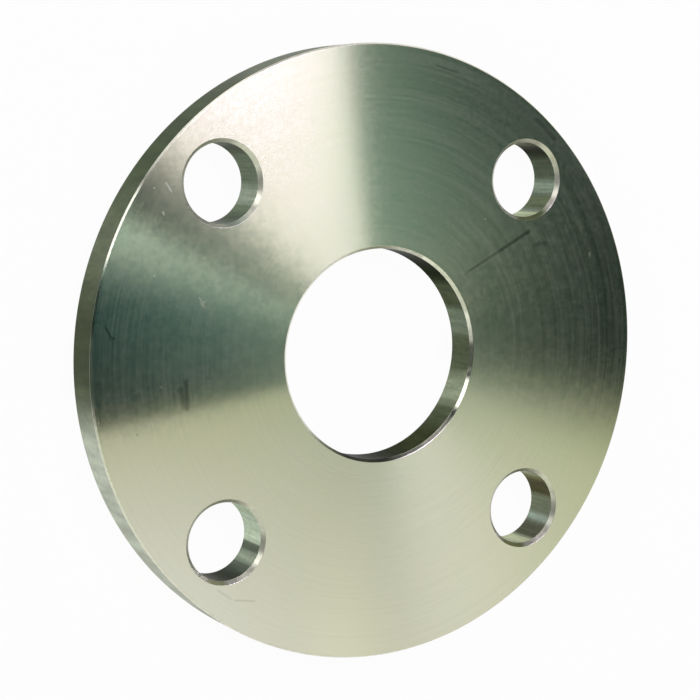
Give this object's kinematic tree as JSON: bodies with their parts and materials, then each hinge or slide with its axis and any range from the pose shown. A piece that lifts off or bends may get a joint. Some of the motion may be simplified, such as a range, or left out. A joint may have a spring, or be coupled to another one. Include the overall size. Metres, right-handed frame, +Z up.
{
  "type": "slip-on pipe flange",
  "caption": "Flat round slip-on pipe flange of turned stainless steel, with a chamfered tube bore and a circle of chamfered bolt holes.",
  "frame": {"origin": "centre of the gasket face, on the bore's axis, on the surface that the flange lies on", "axes": "+Z up along the bore's axis, out through the back face that the tube is pushed in from; +X and +Y run midway between bolt holes, so the holes straddle both"},
  "size_m": [0.1524, 0.1524, 0.0111],
  "materials": {
    "turned_stainless": "satin"
  },
  "bodies": {
    "root": {"flange": "turned_stainless"}
  },
  "joints": []
}
